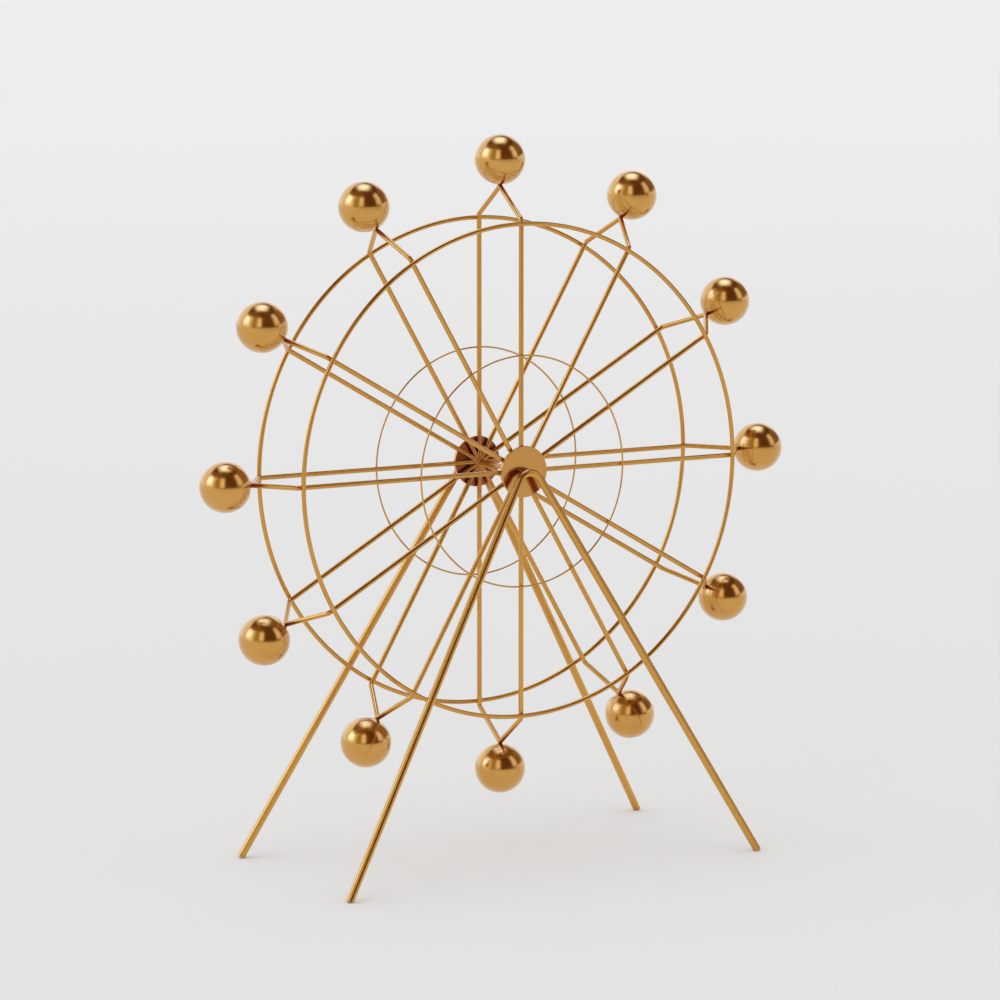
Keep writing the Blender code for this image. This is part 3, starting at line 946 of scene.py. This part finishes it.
def turn_section(work, section, steps, axis, centre, closed=False):
    """Turns the section round the axis through the centre. axis is "Y" or "Z"."""
    rings = []
    for radius, height in section:
        if radius < 1e-9:
            spots = [(0.0, 0.0)]
        else:
            angles = [math.tau * step / steps for step in range(steps)]
            spots = [(radius * math.cos(angle), radius * math.sin(angle)) for angle in angles]
        flip = {"Y": lambda a, b: (a, height, b), "Z": lambda a, b: (a, b, height)}[axis]
        rings.append([work.verts.new(Vector(flip(*spot)) + centre) for spot in spots])
    pairs = list(zip(rings, rings[1:])) + ([(rings[-1], rings[0])] if closed else [])
    made = []
    for first, second in pairs:
        for step in range(steps):
            following = (step + 1) % steps
            corners = [first[step % len(first)], first[following % len(first)],
                       second[following % len(second)], second[step % len(second)]]
            corners = [corner for place, corner in enumerate(corners) if corner not in corners[:place]]
            made.append(work.faces.new(corners))
    bmesh.ops.recalc_face_normals(work, faces=made)


def turned(name, section, steps, material, closed=False):
    """A finished part, turned round the axle."""
    work = bmesh.new()
    turn_section(work, section, steps, "Y", WHEEL_CENTRE, closed)
    mesh = smooth_mesh(work, name)
    mesh.set_sharp_from_angle(angle=SHARP_ANGLE)
    mesh.materials.append(material)
    return new_object(name, mesh)


ARC_STEPS = 4


def rounded(corner, before, after, radius):
    """Points that round off one corner of a section."""
    corner, before, after = Vector(corner), Vector(before), Vector(after)
    to_before = (before - corner).normalized()
    to_after = (after - corner).normalized()
    half = to_before.angle(to_after) / 2
    setback = radius / math.tan(half)
    pivot = corner + (to_before + to_after).normalized() * (radius / math.sin(half))
    start = corner + to_before * setback - pivot
    turn_by = -start.angle_signed(corner + to_after * setback - pivot)
    return [tuple(pivot + Matrix.Rotation(turn_by * step / ARC_STEPS, 2) @ start) for step in range(ARC_STEPS + 1)]


def eased(section, radius):
    """A closed section with every corner rounded, and a point beside each arc to keep the flats flat."""
    points = []
    for place, corner in enumerate(section):
        before, after = section[place - 1], section[(place + 1) % len(section)]
        arc = rounded(corner, before, after, radius)
        beside = [tuple(Vector(end) + (Vector(far) - Vector(end)).normalized() * radius * 0.5)
                  for end, far in ((arc[0], before), (arc[-1], after))]
        points += [beside[0], *arc, beside[1]]
    return points


# %% [markdown]
# ## The balls
#
# The balls are brass, polished until no seam shows. Each has a small dimple underneath, and the
# fold of its spoke is soldered into that. The section is the arc of the ball, which rolls over the
# dimple's lip into its floor.

# %% Turn one ball and repeat it
BALL_STEPS = 72
BALL_ARC_STEPS = 44
DIMPLE_RADIUS = 1.3 * MM
DIMPLE_DEPTH = 1.0 * MM
LIP = 0.12 * MM


def ball_section():
    lip_angle = math.pi - math.asin((DIMPLE_RADIUS + LIP) / ball_radius)
    arc = [lip_angle * step / BALL_ARC_STEPS for step in range(BALL_ARC_STEPS + 1)]
    points = [(ball_radius * math.sin(angle), ball_radius * math.cos(angle)) for angle in arc]
    floor_level = -ball_radius + DIMPLE_DEPTH
    lip_level = points[-1][1]
    points += [(DIMPLE_RADIUS, lip_level + 0.05 * MM), (DIMPLE_RADIUS - LIP / 2, lip_level + 0.20 * MM),
               (DIMPLE_RADIUS * 0.8, floor_level - 0.06 * MM), (DIMPLE_RADIUS * 0.4, floor_level), (0, floor_level)]
    return points


def ball_mesh():
    work = bmesh.new()
    turn_section(work, ball_section(), BALL_STEPS, "Z", above_axle(ball_circle))
    return smooth_mesh(work, "ball")


ball_nodes = [f"ball_{index + 1:02d}" for index in range(ARM_COUNT)]
fit(twelve("balls", ball_mesh(), ball_gold, seed=11), "wheel", "ball", *ball_nodes)

# %% [markdown]
# ## The hub
#
# Two flat discs and the tube between them are turned brass, with their edges just broken so that
# they don't cut the polishing mop. The axle is a plain pin, and two short sleeves keep the discs
# off the legs.

# %% Turn the hub
DISC_BORE = 1.5 * MM
TUBE_BORE = 0.9 * MM
SPACER_BORE = 0.9 * MM
DISC_EDGE = 0.22 * MM
SMALL_EDGE = 0.06 * MM
PIN_EDGE = 0.2 * MM
DISC_STEPS, TUBE_STEPS, PIN_STEPS = 128, 64, 48


def sleeve(name, bore, outside, plane, length, edge, steps, material):
    """A round plate or sleeve with a bore, its middle at that place along the axle."""
    start, end = plane - length / 2, plane + length / 2
    section = eased([(bore, start), (outside, start), (outside, end), (bore, end)], edge)
    return turned(name, section, steps, material, closed=True)


for side_name, side in SIDES.items():
    disc = sleeve("hub_plate_" + side_name, DISC_BORE, disc_radius, side * disc_plane, disc_thickness,
                  DISC_EDGE, DISC_STEPS, disc_gold)
    fit(disc, "wheel", "hub_disc", side_name + "_hub_disc")
    spacer = sleeve("spacer_sleeve_" + side_name, SPACER_BORE, spacer_radius, side * spacer_plane,
                    spacer_length, SMALL_EDGE, PIN_STEPS, spacer_brass)
    fit(spacer, "stand", "spacer", side_name + "_spacer")

tube = sleeve("hub_barrel", TUBE_BORE, tube_radius, 0, tube_length, SMALL_EDGE, TUBE_STEPS, tube_gold)
fit(tube, "wheel", "hub_tube", "hub_tube")
pin_half = [(0, axle_length / 2), (axle_radius - PIN_EDGE, axle_length / 2), (axle_radius, axle_length / 2 - PIN_EDGE)]
pin = [(radius, -place) for radius, place in pin_half] + pin_half[::-1]
fit(turned("axle_pin", pin, PIN_STEPS, axle_brass), "stand", "axle", "axle")

# %% [markdown]
# ## The solder
#
# Silver solder holds the wheel together. It draws into each joint by itself and leaves a small
# hollow fillet: between hoop and spoke, between the fold and its ball, in the grooves between the
# spokes' roots and round the tube. The CAD model leaves these places as gaps of 0.3 mm, so the
# fillets here also close what would show as daylight. The joints of one spoke are turned on
# the same lathe and repeated with the same tree.

# %% Solder the joints of the spokes
# A fillet in mm: where it starts and ends, measured from the wheel's middle, and its radius at the
# spoke, at its waist and at the hoop
RIM_FILLET = (17.45, 18.85, 0.84, 0.46, 0.70)
RING_FILLET = (17.75, 18.62, 0.62, 0.26, 0.30)
FILLET_STEPS = 6
RIM_FILLET_SIDES, RING_FILLET_SIDES, DROP_SIDES = 20, 16, 24


def spool(side, fillet):
    """A hollow-sided fillet on one side of the wheel, closed at both ends."""
    start, end, start_radius, waist, end_radius = (value * MM for value in fillet)
    points = [(0, side * start)]
    for step in range(FILLET_STEPS + 1):
        share = step / FILLET_STEPS
        lip = start_radius if share < 0.5 else end_radius
        points.append((waist + (2 * share - 1) ** 2 * (lip - waist), side * (start + share * (end - start))))
    return points + [(0, side * end)]


def joint_mesh():
    """One spoke's solder: a fillet at each of its four hoops, and the drop between fold and ball."""
    work = bmesh.new()
    for side in SIDES.values():
        for fillet, sides, height in ((RIM_FILLET, RIM_FILLET_SIDES, rim_radius),
                                      (RING_FILLET, RING_FILLET_SIDES, inner_radius)):
            turn_section(work, spool(side, fillet), sides, "Y", above_axle(height))
    # The drop hangs on the fold's tip and widens to fill the dimple at the ball's underside
    underside = ball_circle - math.sqrt(ball_radius ** 2 - DIMPLE_RADIUS ** 2)
    drop = [(0, arm_tip - 0.3 * MM), (0.62 * MM, arm_tip - 0.15 * MM), (0.72 * MM, arm_tip + 0.12 * MM),
            (0.80 * MM, underside - 0.22 * MM), (0.96 * MM, underside - 0.06 * MM),
            (1.24 * MM, underside + 0.04 * MM), (1.10 * MM, underside + 0.25 * MM), (0, underside + 0.3 * MM)]
    turn_section(work, drop, DROP_SIDES, "Z", WHEEL_CENTRE)
    return smooth_mesh(work, "joint")


joints = twelve("spoke_solder", joint_mesh(), braze_gold, seed=5)
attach(joints, "wheel")
print(joints.name, len(joints.data.polygons), "faces")

# %% Solder the hub
# The section of the solder round the spokes' roots, in mm: distance from the axle, and distance
# from the wheel's middle. It creeps out between the roots, up the disc's back and into its bore.
HUB_POOL = [(1.12, 15.2), (1.30, 15.65), (1.62, 16.05), (2.20, 16.30), (3.20, 16.52), (3.95, 16.80), (4.12, 17.10),
            (3.95, 17.45), (3.55, 17.90), (3.30, 18.36), (1.60, 18.40), (1.56, 19.60), (1.38, 19.70), (1.12, 19.76)]
POOL_STEPS = 96

for side_name, side in SIDES.items():
    section = [(radius * MM, side * height * MM) for radius, height in HUB_POOL]
    solder = turned("hub_solder_" + side_name, section, POOL_STEPS, braze_gold, closed=True)
    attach(solder, "wheel")
    print(solder.name, len(solder.data.polygons), "faces")
